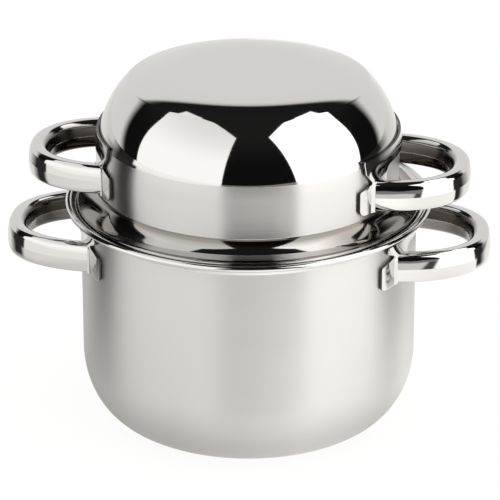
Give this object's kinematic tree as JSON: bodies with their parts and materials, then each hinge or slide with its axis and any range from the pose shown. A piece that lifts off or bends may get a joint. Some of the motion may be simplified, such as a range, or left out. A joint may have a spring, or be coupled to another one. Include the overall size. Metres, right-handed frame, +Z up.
{
  "type": "mussel pot",
  "caption": "Stainless mussel pot with hollow loop handles and a deep domed lid that lifts off and serves as a bowl for the empty shells.",
  "frame": {"origin": "centre of the pot's underside, on the turning axis", "axes": "+Z up along the turning axis, +X towards one of the pot's handles"},
  "size_m": [0.2314, 0.1744, 0.1732],
  "materials": {
    "satin_steel": "satin, finely brushed round the pot",
    "polished_steel": "polished dome and rim, satin lower wall",
    "mirror_steel": "mirror polished",
    "plate_steel": "polished sheet"
  },
  "bodies": {
    "pot": {"pot_body": "satin_steel", "pot_handle_right_upper": "mirror_steel", "pot_handle_right_lower": "mirror_steel", "pot_handle_right_bracket": "plate_steel", "pot_handle_left_upper": "mirror_steel", "pot_handle_left_lower": "mirror_steel", "pot_handle_left_bracket": "plate_steel"},
    "lid": {"lid_bowl": "polished_steel", "lid_handle_right_upper": "mirror_steel", "lid_handle_right_lower": "mirror_steel", "lid_handle_right_bracket": "plate_steel", "lid_handle_left_upper": "mirror_steel", "lid_handle_left_lower": "mirror_steel", "lid_handle_left_bracket": "plate_steel"}
  },
  "joints": [
    {"name": "lid_lift", "type": "slide", "parent": "pot", "child": "lid", "axis": [0, 0, 1], "range_m": [0, 0.12]}
  ]
}
